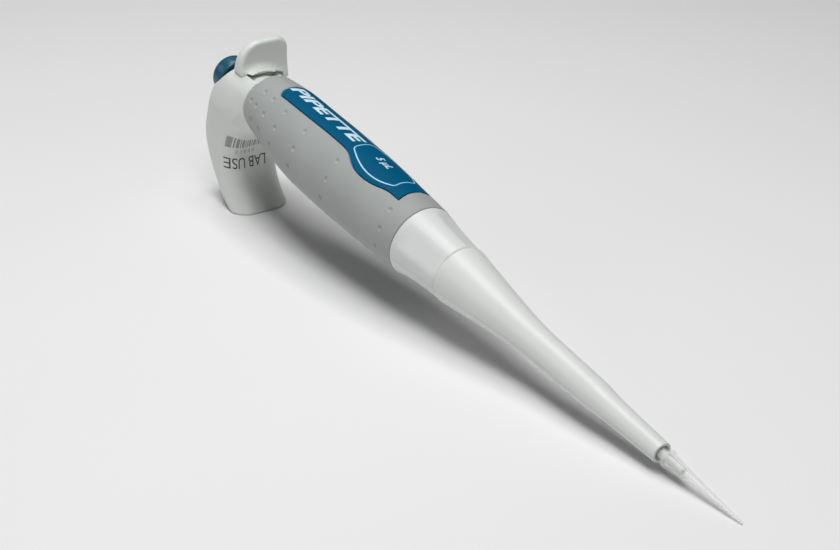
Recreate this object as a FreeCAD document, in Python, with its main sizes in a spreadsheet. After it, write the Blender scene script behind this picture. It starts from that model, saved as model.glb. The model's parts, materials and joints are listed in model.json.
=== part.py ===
import FreeCAD, Part
import math
import os
import Sketcher

# Single-channel fixed-volume pipette with a fitted tip, lying as it does on a bench:
# it stands on the flat end of its finger hook and on the end of the tip.
# Row frame: +X runs from the hook towards the tip, +Z is up, the bench is Z = 0.
#
# Every piece is drawn in the pipette's own upright frame: Z is the distance along the axis
# from the end of the tip, X points to the side opposite the finger hook. One placement then
# lays all of them down together.

Vector = FreeCAD.Vector
doc = FreeCAD.newDocument("fixed_volume_pipette")

# ---------------------------------------------------------------- driving dimensions (mm)
SIZES = {
    # how the pipette lies
    "lie_tilt": 9.73,
    "label_turn": 9.0,
    "run_gap": 0.05,
    # tip
    "tip_orifice": 0.22,
    "tip_end_radius": 0.42,
    "tip_mid_height": 14.2,
    "tip_mid_radius": 1.2,
    "tip_cone_height": 26.0,
    "tip_cone_radius": 2.0,
    "tip_flange_low": 29.4,
    "tip_flange_edge": 30.3,
    "tip_flange_height": 31.0,
    "tip_flange_radius": 2.95,
    "tip_neck_radius": 2.2,
    "tip_height": 35.5,
    "tip_bore_radius": 1.62,
    "tip_wall": 0.4,
    "tip_rib_depth": 0.5,
    # ejector sleeve: slim nose, small shoulder, even barrel, flare up to the collar
    "sleeve_end": 33.5,
    "sleeve_end_radius": 3.38,
    "sleeve_lip_radius": 2.45,
    "sleeve_lip_height": 1.0,
    "sleeve_bore_radius": 2.85,
    "sleeve_bore_top": 57.4,
    "sleeve_step_radius": 3.65,
    "sleeve_step_height": 61.0,
    "sleeve_nose_low": 43.7,
    "sleeve_nose_low_radius": 3.7,
    "sleeve_nose_top": 56.5,
    "sleeve_nose_radius": 4.24,
    "barrel_low": 62.3,
    "barrel_low_radius": 4.85,
    "barrel_mid": 80.0,
    "barrel_mid_radius": 5.24,
    "barrel_top": 91.0,
    "barrel_top_radius": 5.5,
    "flare_low": 109.0,
    "flare_low_radius": 7.25,
    "flare_mid": 119.7,
    "flare_mid_radius": 8.65,
    "sleeve_top": 133.0,
    "sleeve_top_radius": 10.4,
    "sleeve_wall": 1.0,
    "sleeve_bore_end": 127.0,
    "sleeve_bore_end_radius": 8.45,
    "spigot_height": 8.0,
    "spigot_radius": 8.95,
    "spigot_wall": 0.75,
    # nozzle shaft
    "nozzle_end": 24.5,
    "nozzle_end_radius": 1.3,
    "nozzle_cone_top": 41.0,
    "nozzle_cone_radius": 1.74,
    "shaft_guide_radius": 2.77,
    "shaft_guide_top": 57.0,
    "shaft_mid_radius": 3.2,
    "shaft_mid_low": 62.0,
    "shaft_mid_top": 90.0,
    "shaft_radius": 4.2,
    "shaft_low": 97.0,
    "shaft_shoulder_low": 104.0,
    "shaft_shoulder_top": 106.0,
    "shaft_shoulder_radius": 5.3,
    "shaft_flange_low": 142.5,
    "shaft_top": 146.0,
    "shaft_flange_radius": 5.2,
    "cylinder_radius": 0.55,
    "seal_cavity_radius": 3.0,
    "seal_cavity_low": 99.0,
    # piston group
    "piston_radius": 0.5,
    "piston_end": 88.0,
    "seal_height": 3.0,
    "seal_ring_wire": 0.8,
    "retainer_height": 3.9,
    "piston_spring_low": 107.5,
    "holder_low": 125.0,
    "holder_top": 131.0,
    "holder_radius": 2.8,
    # plunger
    "rod_radius": 1.75,
    "rod_top": 279.5,
    "stop_low": 224.0,
    "stop_height": 4.0,
    "stop_radius": 4.35,
    "button_radius": 7.6,
    "button_low": 276.5,
    "button_top": 283.0,
    "button_stem_low": 272.6,
    "button_stem_radius": 3.2,
    "insert_radius": 6.0,
    "insert_height": 0.9,
    # handle core and what it holds
    "core_low": 146.0,
    "core_thread_top": 156.0,
    "core_top": 262.0,
    "core_radius": 5.9,
    "core_thread_radius": 5.2,
    "core_bore": 4.5,
    "core_lower_bore": 4.85,
    "core_mouth": 3.2,
    "seat_low": 162.0,
    "seat_height": 4.0,
    "hat_low": 186.0,
    "hat_flange": 4.0,
    "hat_radius": 4.78,
    "hat_tube_radius": 2.75,
    "first_stop": 6.4,
    "blowout_stroke": 3.2,
    "nut_height": 8.0,
    "lock_height": 3.0,
    "bush_height": 8.0,
    "spring_wire": 0.8,
    "blowout_wire": 1.0,
    # coupling nut and front collar
    "coupling_low": 139.0,
    "coupling_radius": 6.6,
    "coupling_bore": 4.3,
    "collar_top": 154.9,
    "collar_top_radius": 12.8,
    "collar_low_radius": 10.45,
    "collar_mid": 144.4,
    "collar_mid_radius": 11.3,
    "collar_wall": 1.4,
    "collar_spigot": 6.0,
    # grip and handle shell
    "grip_low": 155.0,
    "grip_low_radius": 12.8,
    "grip_belly_low": 187.0,
    "grip_belly_low_radius": 14.25,
    "grip_belly": 212.0,
    "grip_belly_radius": 14.6,
    "grip_neck": 244.0,
    "grip_neck_radius": 12.9,
    "grip_top": 256.5,
    "grip_top_radius": 11.4,
    "grip_lip_radius": 10.1,
    "grip_wall": 1.8,
    "shell_wall": 1.3,
    "shell_top": 246.0,
    "shell_top_bore": 8.35,
    "web_low": 172.0,
    "web_high": 226.0,
    "web_height": 3.0,
    # label
    "label_low": 162.7,
    "label_hollow": 0.8,
    "label_top": 240.5,
    "label_shoulder": 2.2,
    "label_narrow_low": 200.0,
    "label_wide_top": 187.5,
    "label_wide_low": 176.5,
    "label_tail_top": 170.5,
    "label_narrow_half": 6.3,
    "label_wide_half": 8.7,
    "label_tail_half": 6.5,
    "label_depth": 0.8,
    "label_stands": 0.12,
    "label_fit": 0.06,
    # head shell and finger hook
    "seam_height": 252.6,
    "seam_slope": 0.27,
    "seam_gap": 0.35,
    "head_skirt_low": 248.0,
    "head_top": 275.0,
    "head_low_radius": 11.1,
    "head_top_radius": 10.3,
    "head_cavity_radius": 8.4,
    "head_floor": 262.0,
    "neck_low": 236.0,
    "neck_radius": 8.3,
    "window_low": 250.0,
    "window_top": 264.7,
    "window_half_angle": 42.0,
    "hook_half_width": 11.7,
    "hook_edge_radius": 4.2,
    # ejector
    "tongue_low": 252.0,
    "tongue_inner": 8.4,
    "tongue_outer": 9.95,
    "tongue_half_angle": 38.0,
    "paddle_low": 261.7,
    "paddle_half_width": 9.8,
    "paddle_top_radius": 20.6,
    "paddle_corner": 6.5,
    "paddle_bulge": 1.3,
    "paddle_inner": 11.25,
    "paddle_root": 9.0,
    "paddle_rise": 9.6,
    "strip_inner": 6.75,
    "strip_thick": 1.2,
    "strip_width": 3.2,
    "strip_top": 255.0,
    "ring_low": 129.5,
    "ring_top": 132.8,
    "ring_radius": 8.5,
    "link_pin_radius": 0.6,
}

sheet = doc.addObject("Spreadsheet::Sheet", "Dimensions")
for row, (alias, number) in enumerate(SIZES.items(), start=1):
    sheet.set("A%d" % row, alias)
    sheet.set("B%d" % row, str(number))
    sheet.setAlias("B%d" % row, alias)
doc.recompute()


class Size:
    """A length with its value and the sheet expression that drives it."""

    def __init__(self, number, text):
        self.number = number
        self.text = text

    def joined(self, other, sign, number):
        return Size(number, "(%s %s %s)" % (self.text, sign, as_size(other).text))

    def __add__(self, other):
        return self.joined(other, "+", self.number + as_size(other).number)

    def __sub__(self, other):
        return self.joined(other, "-", self.number - as_size(other).number)

    def __mul__(self, other):
        return self.joined(other, "*", self.number * as_size(other).number)


def as_size(thing):
    return thing if isinstance(thing, Size) else Size(float(thing), repr(float(thing)))


def d(alias):
    """The driving dimension of that name, as a Size."""
    return Size(float(sheet.get(alias)), "Dimensions." + alias)


def mm(alias):
    return float(sheet.get(alias))


# ---------------------------------------------------------------- how the pipette is laid down
tilt = math.radians(mm("lie_tilt"))
TIP_CLEAR = mm("tip_end_radius") * math.cos(tilt)


def resting_place(tip_x):
    turn = FreeCAD.Rotation(Vector(0, 1, 0), mm("lie_tilt") - 90.0)
    return FreeCAD.Placement(Vector(tip_x, 0, TIP_CLEAR), turn)


pieces = {}


def keep(name, thing):
    """Registers a finished sub-part under its node name."""
    thing.Label = name
    pieces[name] = thing
    return thing


# ---------------------------------------------------------------- ways of making a piece
def origin_plane(body, role):
    return [f for f in body.Origin.OriginFeatures if f.Role == role][0]


def outline_sketch(body, role, outline, name):
    """A closed outline of straight edges, every corner bound to the sheet."""
    sketch = body.newObject("Sketcher::SketchObject", name)
    sketch.AttachmentSupport = (origin_plane(body, role), [""])
    sketch.MapMode = "FlatFace"
    corners = [(as_size(a), as_size(b)) for a, b in outline]
    points = [Vector(a.number, b.number, 0) for a, b in corners]
    for i, start in enumerate(points):
        sketch.addGeometry(Part.LineSegment(start, points[(i + 1) % len(points)]), False)
    for i, corner in enumerate(corners):
        following = (i + 1) % len(points)
        sketch.addConstraint(Sketcher.Constraint("Coincident", i, 2, following, 1))
        for kind, size in zip(("DistanceX", "DistanceY"), corner):
            mark = sketch.addConstraint(Sketcher.Constraint(kind, -1, 1, i, 1, size.number))
            sketch.setExpression("Constraints[%d]" % mark, size.text)
    return sketch


def turned_body(name, outline):
    """A body turned about the pipette's axis from (radius, height) corners."""
    body = doc.addObject("PartDesign::Body", name)
    sketch = outline_sketch(body, "XZ_Plane", outline, name + "_profile")
    turning = body.newObject("PartDesign::Revolution", name + "_turning")
    turning.Profile = sketch
    turning.ReferenceAxis = (sketch, ["V_Axis"])
    turning.Angle = 360.0
    sketch.Visibility = False
    return body


def turned(name, outline):
    return keep(name, turned_body(name, outline))


def tube(name, inner, outer, low, high):
    return turned(name, [(inner, low), (outer, low), (outer, high), (inner, high)])


def curve_through(points):
    line = Part.BSplineCurve()
    line.interpolate([Vector(radius, 0, height) for radius, height in points])
    return line.toShape()


def straight_through(points):
    ends = [Vector(radius, 0, height) for radius, height in points]
    return [Part.makeLine(a, b) for a, b in zip(ends, ends[1:])]


def lathe(edges, angle=360.0):
    """Turns a closed set of edges in the XZ plane about the axis."""
    face = Part.Face(Part.Wire(Part.__sortEdges__(edges)))
    return face.revolve(Vector(0, 0, 0), Vector(0, 0, 1), angle)


def solid_of(shape):
    found = shape.Solids
    if len(found) != 1:
        raise RuntimeError("expected one solid, found %d" % len(found))
    return found[0]


def shaped(name, shape):
    """A sub-part whose free-form shape is set directly."""
    feature = doc.addObject("Part::Feature", name)
    feature.Shape = shape
    return keep(name, feature)


def coil(name, mean_radius, wire, low, high, turns):
    """A compression spring whose ends rest on the faces at low and high."""
    gap = 0.02
    helix = doc.addObject("Part::Helix", name + "_path")
    helix.Radius = mean_radius
    span = high - low - wire - 2 * gap
    helix.Pitch = span / turns
    helix.Height = span
    section = doc.addObject("Part::Circle", name + "_wire")
    section.Radius = wire / 2
    base = low + wire / 2 + gap
    helix.Placement.Base = Vector(0, 0, base)
    section.Placement = FreeCAD.Placement(
        Vector(mean_radius, 0, base), FreeCAD.Rotation(Vector(1, 0, 0), 90)
    )
    sweep = doc.addObject("Part::Sweep", name)
    sweep.Sections = [section]
    sweep.Spine = (helix, [])
    sweep.Solid = True
    sweep.Frenet = True
    return keep(name, sweep)


def gap():
    return d("run_gap")


# ---------------------------------------------------------------- outer contours
GRIP_CONTOUR = [
    (mm("grip_low_radius"), mm("grip_low")),
    (mm("grip_belly_low_radius"), mm("grip_belly_low")),
    (mm("grip_belly_radius"), mm("grip_belly")),
    (mm("grip_neck_radius"), mm("grip_neck")),
    (mm("grip_top_radius"), mm("grip_top")),
]
SLEEVE_NOSE = [
    (mm("sleeve_end_radius"), mm("sleeve_end")),
    (mm("sleeve_nose_low_radius"), mm("sleeve_nose_low")),
    (mm("sleeve_nose_radius"), mm("sleeve_nose_top")),
]
SLEEVE_BARREL = [
    (mm("barrel_low_radius"), mm("barrel_low")),
    (mm("barrel_mid_radius"), mm("barrel_mid")),
    (mm("barrel_top_radius"), mm("barrel_top")),
    (mm("flare_low_radius"), mm("flare_low")),
    (mm("flare_mid_radius"), mm("flare_mid")),
    (mm("sleeve_top_radius"), mm("sleeve_top")),
]


def inward(points, wall):
    return [(radius - wall, height) for radius, height in points]


# ---------------------------------------------------------------- pipette tip
def pipette_tip():
    wall = d("tip_wall")
    body = turned_body("pipette_tip", [
        (d("tip_orifice"), 0), (d("tip_end_radius"), 0),
        (d("tip_mid_radius"), d("tip_mid_height")),
        (d("tip_cone_radius"), d("tip_cone_height")),
        (d("tip_neck_radius"), d("tip_flange_low")),
        (d("tip_flange_radius"), d("tip_flange_edge")),
        (d("tip_flange_radius"), d("tip_flange_height")),
        (d("tip_neck_radius"), d("tip_flange_height")),
        (d("tip_neck_radius"), d("tip_height")),
        (d("tip_bore_radius"), d("tip_height")),
        (d("nozzle_end_radius") + 0.02, d("nozzle_end")),
        (d("nozzle_end_radius") - 0.12, d("nozzle_end") - 0.6),
        (d("tip_mid_radius") - wall, d("tip_mid_height")),
    ])
    # eight stiffening ribs run from the flange down to the cone
    outer, inner = d("tip_flange_radius") - 0.1, d("tip_cone_radius") - 0.25
    low, high = d("tip_cone_height"), d("tip_flange_edge")
    rib = outline_sketch(body, "XZ_Plane", [
        (inner, low), (d("tip_cone_radius") + 0.1, low), (outer, high), (inner, high),
    ], "tip_rib_profile")
    pad = body.newObject("PartDesign::Pad", "tip_rib")
    pad.Profile = rib
    pad.Length = mm("tip_rib_depth")
    pad.Midplane = True
    doc.recompute()
    ring = body.newObject("PartDesign::PolarPattern", "tip_ribs")
    ring.Originals = [pad]
    ring.Axis = (body.Origin.OriginFeatures[2], [""])
    ring.Angle = 360.0
    ring.Occurrences = 8
    body.Tip = ring
    return keep("pipette_tip", body)


# ---------------------------------------------------------------- ejector group
def ejector_sleeve():
    end, top = mm("sleeve_end"), mm("sleeve_top")
    lip, lip_top = mm("sleeve_lip_radius"), end + mm("sleeve_lip_height")
    bore, bore_top = mm("sleeve_bore_radius"), mm("sleeve_bore_top")
    spigot_top = top + mm("spigot_height")
    spigot_out, spigot_in = mm("spigot_radius"), mm("spigot_radius") - mm("spigot_wall")
    seat_low, seat_top = mm("ring_low") - 0.6, mm("ring_top") + 0.4
    seat = mm("ring_radius")
    inside = inward(SLEEVE_BARREL[1:-1], mm("sleeve_wall"))
    inside.append((mm("sleeve_bore_end_radius"), mm("sleeve_bore_end")))
    step = straight_through([SLEEVE_NOSE[-1], SLEEVE_BARREL[0]])
    edges = step + [curve_through(p) for p in (SLEEVE_NOSE, SLEEVE_BARREL, inside)]
    # the spigot at the top slides inside the collar; the ring's seat is turned just below it
    edges += straight_through([
        SLEEVE_BARREL[-1], (spigot_out, top), (spigot_out, spigot_top),
        (spigot_in, spigot_top), (spigot_in, seat_top), (seat, seat_top), (seat, seat_low),
        inside[-1],
    ])
    edges += straight_through([
        inside[0], (mm("sleeve_step_radius"), mm("sleeve_step_height")), (bore, bore_top),
        (bore, lip_top), (lip, lip_top), (lip, end), SLEEVE_NOSE[0],
    ])
    return shaped("ejector_sleeve", solid_of(lathe(edges)))


def sleeve_ring():
    return tube("sleeve_ring", d("shaft_radius") + gap(), d("ring_radius"),
                d("ring_low"), d("ring_top"))


def box(name, low, high):
    """A box between two opposite corners of Sizes."""
    low = [as_size(v) for v in low]
    high = [as_size(v) for v in high]
    made = doc.addObject("Part::Box", name)
    for side, a, b in zip(("Length", "Width", "Height"), low, high):
        made.setExpression(side, "%s - %s" % (b.text, a.text))
    for letter, a in zip("xyz", low):
        made.setExpression("Placement.Base." + letter, a.text)
    return made


def strip_and_pin():
    """The flat ejector strip and the pin that ties its top to the paddle."""
    half = d("strip_width") * 0.5
    strip = box(
        "strip_blank",
        (d("strip_inner"), half * -1.0, d("ring_top")),
        (d("strip_inner") + d("strip_thick"), half, d("strip_top")),
    )
    start = d("strip_inner") - 0.6
    end = d("strip_inner") + d("strip_thick") + 0.5
    drill, pin = [doc.addObject("Part::Cylinder", n) for n in ("pin_drill", "link_pin")]
    for rod in (drill, pin):
        rod.setExpression("Radius", d("link_pin_radius").text)
        rod.setExpression("Height", (end - start).text)
        rod.Placement = FreeCAD.Placement(
            Vector(start.number, 0, mm("tongue_low") + 1.5),
            FreeCAD.Rotation(Vector(0, 1, 0), 90),
        )
    drilled = doc.addObject("Part::Cut", "ejector_strip")
    drilled.Base, drilled.Tool = strip, drill
    keep("ejector_strip", drilled)
    keep("link_pin", pin)


def ring_sector(inner, outer, low, high, half_angle):
    """Part of a ring, centred on +X."""
    face = Part.makePlane(outer - inner, high - low, Vector(inner, 0, low), Vector(0, -1, 0),
                          Vector(1, 0, 0))
    ring = face.revolve(Vector(0, 0, 0), Vector(0, 0, 1), 2 * half_angle)
    ring.rotate(Vector(0, 0, 0), Vector(0, 0, 1), -half_angle)
    return ring


def paddle_outline(height):
    """The thumb plate's outline across the axis: straight sides and a round-cornered top."""
    half, top = mm("paddle_half_width"), mm("paddle_top_radius")
    corner, bulge = mm("paddle_corner"), mm("paddle_bulge")
    left_low, left_high = Vector(0, -half, height), Vector(top - corner, -half, height)
    right_low, right_high = Vector(0, half, height), Vector(top - corner, half, height)
    inset = corner * (1 - math.sqrt(0.5))
    edge = top - bulge
    left_top = Vector(edge, -half + corner, height)
    right_top = Vector(edge, half - corner, height)
    edges = [
        Part.makeLine(right_low, left_low),
        Part.makeLine(left_low, left_high),
        Part.Arc(left_high, Vector(edge - inset, -half + inset, height), left_top).toShape(),
        Part.Arc(left_top, Vector(top, 0, height), right_top).toShape(),
        Part.Arc(right_top, Vector(edge - inset, half - inset, height), right_high).toShape(),
        Part.makeLine(right_high, right_low),
    ]
    return Part.Face(Part.Wire(edges))


def ejector_paddle():
    low, half = mm("paddle_low"), mm("paddle_half_width")
    inner, top = mm("paddle_inner"), mm("paddle_top_radius")
    root, rise = mm("paddle_root"), mm("paddle_rise")

    # the plate's side view: a hollow lower face, a rounded rim and a hollow thumb face
    def at(x, height):
        return Vector(x, 0, low + height)

    rim_low, rim_high = at(top, 2.3), at(top - 0.6, 5.6)
    arcs = [
        Part.Arc(at(root, 0), at((root + top) / 2, 1.9), rim_low),
        Part.Arc(rim_low, at(top + 0.9, 4.1), rim_high),
        Part.Arc(rim_high, at((root + top) / 2, 5.9), at(root, rise)),
    ]
    back = Part.makeLine(at(root, rise), at(root, 0))
    side = Part.Wire([arc.toShape() for arc in arcs] + [back])
    plate = Part.Face(side).extrude(Vector(0, 2 * half, 0))
    plate.translate(Vector(0, -half, 0))
    plate = plate.common(paddle_outline(low - 1).extrude(Vector(0, 0, rise + 2)))
    plate = plate.cut(Part.makeCylinder(inner, rise + 4, Vector(0, 0, low - 2)))
    # the tongue slides in the head's window; a bridge carries the plate from its upper end
    tongue_in, tongue_low = mm("tongue_inner"), mm("tongue_low")
    spread = mm("tongue_half_angle")
    tongue = ring_sector(tongue_in, mm("tongue_outer"), tongue_low, low, spread)
    bridge = ring_sector(tongue_in, inner + 0.6, low, low + 2.4, spread)
    # a short arm reaches in below the tongue and holds the top of the strip
    strip_in, width = mm("strip_inner"), mm("strip_width")
    arm_in = strip_in - 0.7
    arm_height, slot_height = 3.2, mm("strip_top") - tongue_low
    arm = Part.makeBox(tongue_in + 0.8 - arm_in, width, arm_height,
                       Vector(arm_in, -width / 2, tongue_low))
    slot = Part.makeBox(mm("strip_thick"), width, slot_height,
                        Vector(strip_in, -width / 2, tongue_low))
    pin = Part.makeCylinder(mm("link_pin_radius"), tongue_in + 1.0,
                            Vector(0, 0, tongue_low + slot_height / 2), Vector(1, 0, 0))
    joined = plate.fuse([tongue, bridge, arm]).cut(slot).cut(pin).removeSplitter()
    return shaped("ejector_paddle", solid_of(joined))


# ---------------------------------------------------------------- nozzle shaft and piston
def nozzle_shaft():
    return turned("nozzle_shaft", [
        (d("cylinder_radius"), d("nozzle_end")),
        (d("nozzle_end_radius"), d("nozzle_end")),
        (d("nozzle_cone_radius"), d("nozzle_cone_top")),
        (d("shaft_guide_radius"), d("nozzle_cone_top") + 0.9),
        (d("shaft_guide_radius"), d("shaft_guide_top")),
        (d("shaft_mid_radius"), d("shaft_mid_low")),
        (d("shaft_mid_radius"), d("shaft_mid_top")),
        (d("shaft_radius"), d("shaft_low")),
        (d("shaft_radius"), d("shaft_shoulder_low")),
        (d("shaft_shoulder_radius"), d("shaft_shoulder_low")),
        (d("shaft_shoulder_radius"), d("shaft_shoulder_top")),
        (d("shaft_radius"), d("shaft_shoulder_top")),
        (d("shaft_radius"), d("shaft_flange_low")),
        (d("shaft_flange_radius"), d("shaft_flange_low")),
        (d("shaft_flange_radius"), d("shaft_top")),
        (d("seal_cavity_radius"), d("shaft_top")),
        (d("seal_cavity_radius"), d("seal_cavity_low")),
        (d("cylinder_radius"), d("seal_cavity_low")),
    ])


def piston_group():
    piston_bore = d("piston_radius") + 0.03
    seal_top = d("seal_cavity_low") + d("seal_height")
    ring_top = seal_top + d("seal_ring_wire") * 2.0
    cavity = d("seal_cavity_radius")
    tube("piston_seal", piston_bore, cavity, d("seal_cavity_low"), seal_top)
    tube("seal_retainer", piston_bore + 0.1, cavity, ring_top,
         ring_top + d("retainer_height"))
    ring = doc.addObject("Part::Torus", "seal_o_ring")
    ring.setExpression("Radius2", d("seal_ring_wire").text)
    ring.setExpression("Radius1", (cavity - d("seal_ring_wire")).text)
    ring.Placement.Base = Vector(0, 0, (seal_top + d("seal_ring_wire")).number)
    keep("seal_o_ring", ring)
    holder_low, holder_top = d("holder_low"), d("holder_top")
    tube("piston_holder", d("piston_radius"), d("holder_radius"), holder_low, holder_top)
    turned("piston", [
        (0, d("piston_end")), (d("piston_radius"), d("piston_end")),
        (d("piston_radius"), holder_top), (0, holder_top),
    ])
    coil("piston_spring", 2.1, 0.7, mm("piston_spring_low"), mm("holder_low"), 9)


# ---------------------------------------------------------------- handle core and plunger
def handle_core():
    hat_top = d("hat_low") + d("hat_flange")
    return turned("handle_core", [
        (d("core_mouth"), d("core_low")),
        (d("core_thread_radius"), d("core_low")),
        (d("core_thread_radius"), d("core_thread_top")),
        (d("core_radius"), d("core_thread_top")),
        (d("core_radius"), d("core_top")),
        (d("core_bore"), d("core_top")),
        (d("core_bore"), hat_top + gap()),
        (d("core_lower_bore"), hat_top + gap()),
        (d("core_lower_bore"), d("seat_low")),
        (d("core_mouth"), d("seat_low")),
    ])


def core_fittings():
    guide = d("rod_radius") + gap()
    seat_top = d("seat_low") + d("seat_height")
    hat_top = d("hat_low") + d("hat_flange")
    stop_top = d("stop_low") + d("stop_height")
    nut_top = stop_top + d("nut_height")
    tube("spring_seat", guide, d("core_lower_bore"), d("seat_low"), seat_top)
    tube("calibration_nut", guide + 0.1, d("core_bore"), stop_top, nut_top)
    tube("lock_ring", guide + 0.4, d("core_bore"), nut_top, nut_top + d("lock_height"))
    tube("guide_bush", guide, d("core_bore"), d("core_top") - d("bush_height"), d("core_top"))
    # the blow-out hat: its rim lifts the second spring, its tube end is the first stop
    turned("blowout_hat", [
        (guide, d("hat_low")), (d("hat_radius"), d("hat_low")), (d("hat_radius"), hat_top),
        (d("hat_tube_radius"), hat_top),
        (d("hat_tube_radius"), d("stop_low") - d("first_stop")),
        (guide, d("stop_low") - d("first_stop")),
    ])
    coil("blowout_spring", 4.0, mm("blowout_wire"), seat_top.number, mm("hat_low"), 7)
    coil("primary_spring", 3.55, mm("spring_wire"), hat_top.number, mm("stop_low"), 12)
    tube("stop_collar", d("rod_radius"), d("stop_radius"), d("stop_low"), stop_top)


def plunger_rod():
    return turned("plunger_rod", [
        (0, d("holder_top")), (d("rod_radius"), d("holder_top")),
        (d("rod_radius"), d("rod_top")), (0, d("rod_top")),
    ])


def plunger_button():
    edge = 1.1
    floor = d("button_top") - d("insert_height")
    body = turned_body("plunger_button", [
        (d("rod_radius"), d("button_stem_low")), (d("button_stem_radius"), d("button_stem_low")),
        (d("button_stem_radius"), d("button_low")),
        (d("button_radius") - 0.5, d("button_low")),
        (d("button_radius"), d("button_low") + 1.0),
        (d("button_radius"), d("button_top") - edge),
        (d("button_radius") - 0.3, d("button_top") - 0.4),
        (d("button_radius") - edge, d("button_top")),
        (d("insert_radius"), d("button_top")), (d("insert_radius"), floor),
        (0, floor), (0, d("rod_top")), (d("rod_radius"), d("rod_top")),
    ])
    keep("plunger_button", body)
    turned("button_insert", [
        (0, floor), (d("insert_radius"), floor), (d("insert_radius"), d("button_top")),
        (0, d("button_top") - 0.35),
    ])


# ---------------------------------------------------------------- coupling and collar
def coupling_nut():
    bore = d("coupling_bore")
    thread = d("core_thread_radius")
    return turned("coupling_nut", [
        (bore, d("coupling_low")), (d("coupling_radius"), d("coupling_low")),
        (d("coupling_radius"), d("core_thread_top")), (thread, d("core_thread_top")),
        (thread, d("shaft_flange_low")), (bore, d("shaft_flange_low")),
    ])


def front_collar():
    low, top = mm("sleeve_top"), mm("collar_top")
    mid, wall = mm("collar_mid"), mm("collar_wall")
    outer = [(mm("collar_low_radius"), low), (mm("collar_mid_radius"), mid),
             (mm("collar_top_radius"), top)]
    spigot_out = mm("grip_low_radius") - mm("grip_wall") - mm("shell_wall")
    spigot_top = top + mm("collar_spigot")
    low_bore = mm("spigot_radius") + mm("run_gap")
    edges = [curve_through(outer)] + straight_through([
        outer[-1], (spigot_out, top), (spigot_out, spigot_top),
        (spigot_out - 1.2, spigot_top), (spigot_out - 1.2, mid + 4.0), (low_bore, mid),
        (low_bore, low), outer[0],
    ])
    return shaped("front_collar", solid_of(lathe(edges)))


# ---------------------------------------------------------------- handle shell, grip, label
def shell_contour():
    step = mm("grip_wall")
    points = [(r - step, z) for r, z in GRIP_CONTOUR[:3]]
    return points + [(mm("shell_top_bore") + mm("shell_wall") + 0.6, mm("shell_top"))]


def rod_channel(low, high, inner, outer):
    """The space that the ejector strip runs in."""
    half = mm("strip_width") / 2 + 0.3
    return Part.makeBox(outer - inner, 2 * half, high - low, Vector(inner, -half, low))


def handle_shell():
    outer, wall = shell_contour(), mm("shell_wall")
    low, top = outer[0][1], outer[-1][1]
    bore, neck = mm("shell_top_bore"), mm("neck_low") - 3
    inner = inward(outer[:3], wall)
    hollow_side = [curve_through(inner)] + straight_through([inner[-1], (bore, neck)])
    body = lathe([curve_through(outer)] + hollow_side + straight_through([
        (bore, neck), (bore, top), outer[-1],
    ]) + straight_through([inner[0], outer[0]]))
    hollow = lathe(hollow_side + straight_through([
        (bore, neck), (0, neck), (0, inner[0][1]), inner[0],
    ]))
    strip_out = mm("strip_inner") + mm("strip_thick")
    channel = rod_channel(low, top, 0, strip_out + 0.3)
    # two webs centre the shell on the core and leave a channel for the ejector strip
    for height in (mm("web_low"), mm("web_high")):
        base = Vector(0, 0, height)
        web = Part.makeCylinder(mm("grip_belly_radius"), mm("web_height"), base)
        web = web.cut(Part.makeCylinder(mm("core_radius"), mm("web_height"), base))
        body = body.fuse(web.cut(channel).common(hollow))
    body = body.cut(rod_channel(neck, top, mm("core_radius"), strip_out + 0.5))
    return shaped("handle_shell", solid_of(body.removeSplitter()))


def curve_between(start, end, bow):
    """An arc whose middle is bowed sideways."""
    middle = (start + end) * 0.5 + Vector(0, bow, 0)
    return Part.Arc(start, middle, end).toShape()


def label_prism(grow):
    """The label's outline pushed outward, larger all round by grow."""
    narrow, wide = mm("label_narrow_half") + grow, mm("label_wide_half") + grow
    tail = mm("label_tail_half") + grow
    low, top = mm("label_low") - grow, mm("label_top") + grow
    wide_low, wide_top = mm("label_wide_low"), mm("label_wide_top")
    shoulder = top - mm("label_shoulder")
    reach = mm("core_radius") + 4.0

    def at(height, across):
        return Vector(reach, across, height)

    def side(sign):
        n, w, t = sign * narrow, sign * wide, sign * tail
        corners = [(shoulder, n - sign * 0.5), (mm("label_narrow_low"), n), (wide_top, w),
                   (wide_low, w), (mm("label_tail_top"), t), (low, t)]
        ends = [at(*corner) for corner in corners]
        bows = [0.3, -0.5, 0.5, -0.4]
        curves = [curve_between(a, b, sign * bow) for a, b, bow in zip(ends, ends[1:], bows)]
        return curves + [Part.makeLine(ends[-2], ends[-1])]

    crown = Part.Arc(at(shoulder, 0.5 - narrow), at(top, 0), at(shoulder, narrow - 0.5))
    hollow = Part.Arc(at(low, -tail), at(low + mm("label_hollow"), 0), at(low, tail))
    edges = side(1.0) + side(-1.0) + [crown.toShape(), hollow.toShape()]
    face = Part.Face(Part.Wire(Part.__sortEdges__(edges)))
    return face.extrude(Vector(8, 0, 0))


def contour_solid(offset):
    """The solid inside the grip's contour, grown outward by offset."""
    outer = [(r + offset, z) for r, z in GRIP_CONTOUR]
    return lathe([curve_through(outer)] + straight_through([
        outer[-1], (0, outer[-1][1]), (0, outer[0][1]), outer[0],
    ]))


def above_seam(lift, turn=0.0):
    """Everything above the sloping seam between the grip and the head, raised by lift."""
    block = Part.makeBox(200, 200, 100, Vector(-100, -100, 0))
    lean = math.degrees(math.atan(mm("seam_slope")))
    block.rotate(Vector(0, 0, 0), Vector(0, 1, 0), -lean)
    block.rotate(Vector(0, 0, 0), Vector(0, 0, 1), turn)
    block.translate(Vector(0, 0, mm("seam_height") + lift))
    return block


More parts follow.
